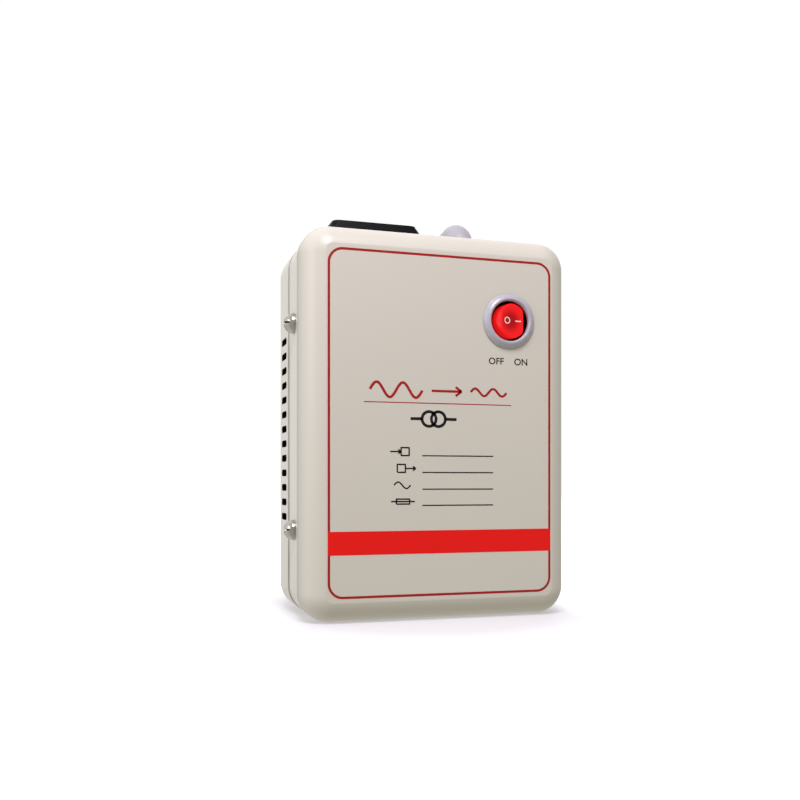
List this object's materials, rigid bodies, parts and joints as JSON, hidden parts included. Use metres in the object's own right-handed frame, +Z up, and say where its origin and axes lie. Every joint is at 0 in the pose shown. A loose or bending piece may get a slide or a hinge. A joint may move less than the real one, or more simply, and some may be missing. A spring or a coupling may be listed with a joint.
{
  "type": "step-down voltage converter",
  "caption": "Upright boxed step-down transformer with a lit rocker switch, a top output socket, side vents and a mains cord with a plug.",
  "frame": {"origin": "middle of the case's base", "axes": "+Z up, the front with the switch faces -Y"},
  "size_m": [0.1734, 0.1822, 0.174],
  "materials": {
    "cover_paint": "gloss cream paint",
    "screw_nickel": "nickel plate",
    "bezel_silver": "silver grey",
    "black_plastic": "satin black",
    "rocker_red": "clear red",
    "lamp_glass": "clear",
    "contact_brass": "bright",
    "cord_grey": "soft white grey",
    "core_steel": "varnished laminations",
    "bobbin_nylon": "ivory",
    "winding_copper": "enamelled copper",
    "wrap_tape": "yellow tape",
    "board_fibre": "tan fibre",
    "lead_brown": "brown insulation",
    "lead_blue": "blue insulation"
  },
  "bodies": {
    "case": {"front_cover": "cover_paint", "rear_cover": "cover_paint", "side_screws": "screw_nickel", "switch_bezel": "bezel_silver", "switch_housing": "black_plastic", "switch_terminals": "contact_brass", "socket_frame": "black_plastic", "socket_insert": "black_plastic", "socket_contacts": "contact_brass", "earth_contact": "contact_brass", "strain_relief": "cord_grey", "cord_stretch": "cord_grey", "cord_coil": "cord_grey", "coil_tie": "black_plastic", "cord_tail": "cord_grey", "plug_body": "cord_grey", "plug_pins": "screw_nickel", "core_e": "core_steel", "core_i": "core_steel", "bobbin": "bobbin_nylon", "primary_winding": "winding_copper", "output_winding": "winding_copper", "winding_wrap": "wrap_tape", "thermal_cutout": "bobbin_nylon", "core_bolts": "screw_nickel", "core_nuts": "screw_nickel", "terminal_board": "board_fibre", "board_screws": "screw_nickel", "fuse_clips": "contact_brass", "fuse": "lamp_glass", "supply_leads": "lead_brown", "output_leads": "lead_blue"},
    "rocker": {"switch_rocker": "rocker_red", "switch_lamp": "lamp_glass", "switch_plunger": "contact_brass"},
    "blade": {"switch_blade": "contact_brass"}
  },
  "joints": [
    {"name": "rocker_hinge", "type": "hinge", "parent": "case", "child": "rocker", "pos_m": [0.029, -0.033, 0.124], "axis": [0, 0, 1], "range_deg": [-24, 0]},
    {"name": "blade_hinge", "type": "hinge", "parent": "case", "child": "blade", "pos_m": [0.029, -0.0248, 0.124], "axis": [0, 0, 1], "range_deg": [0, 12]}
  ],
  "couplings": [
    {"joint": "blade_hinge", "follows": "rocker_hinge", "ratio": -0.5}
  ]
}
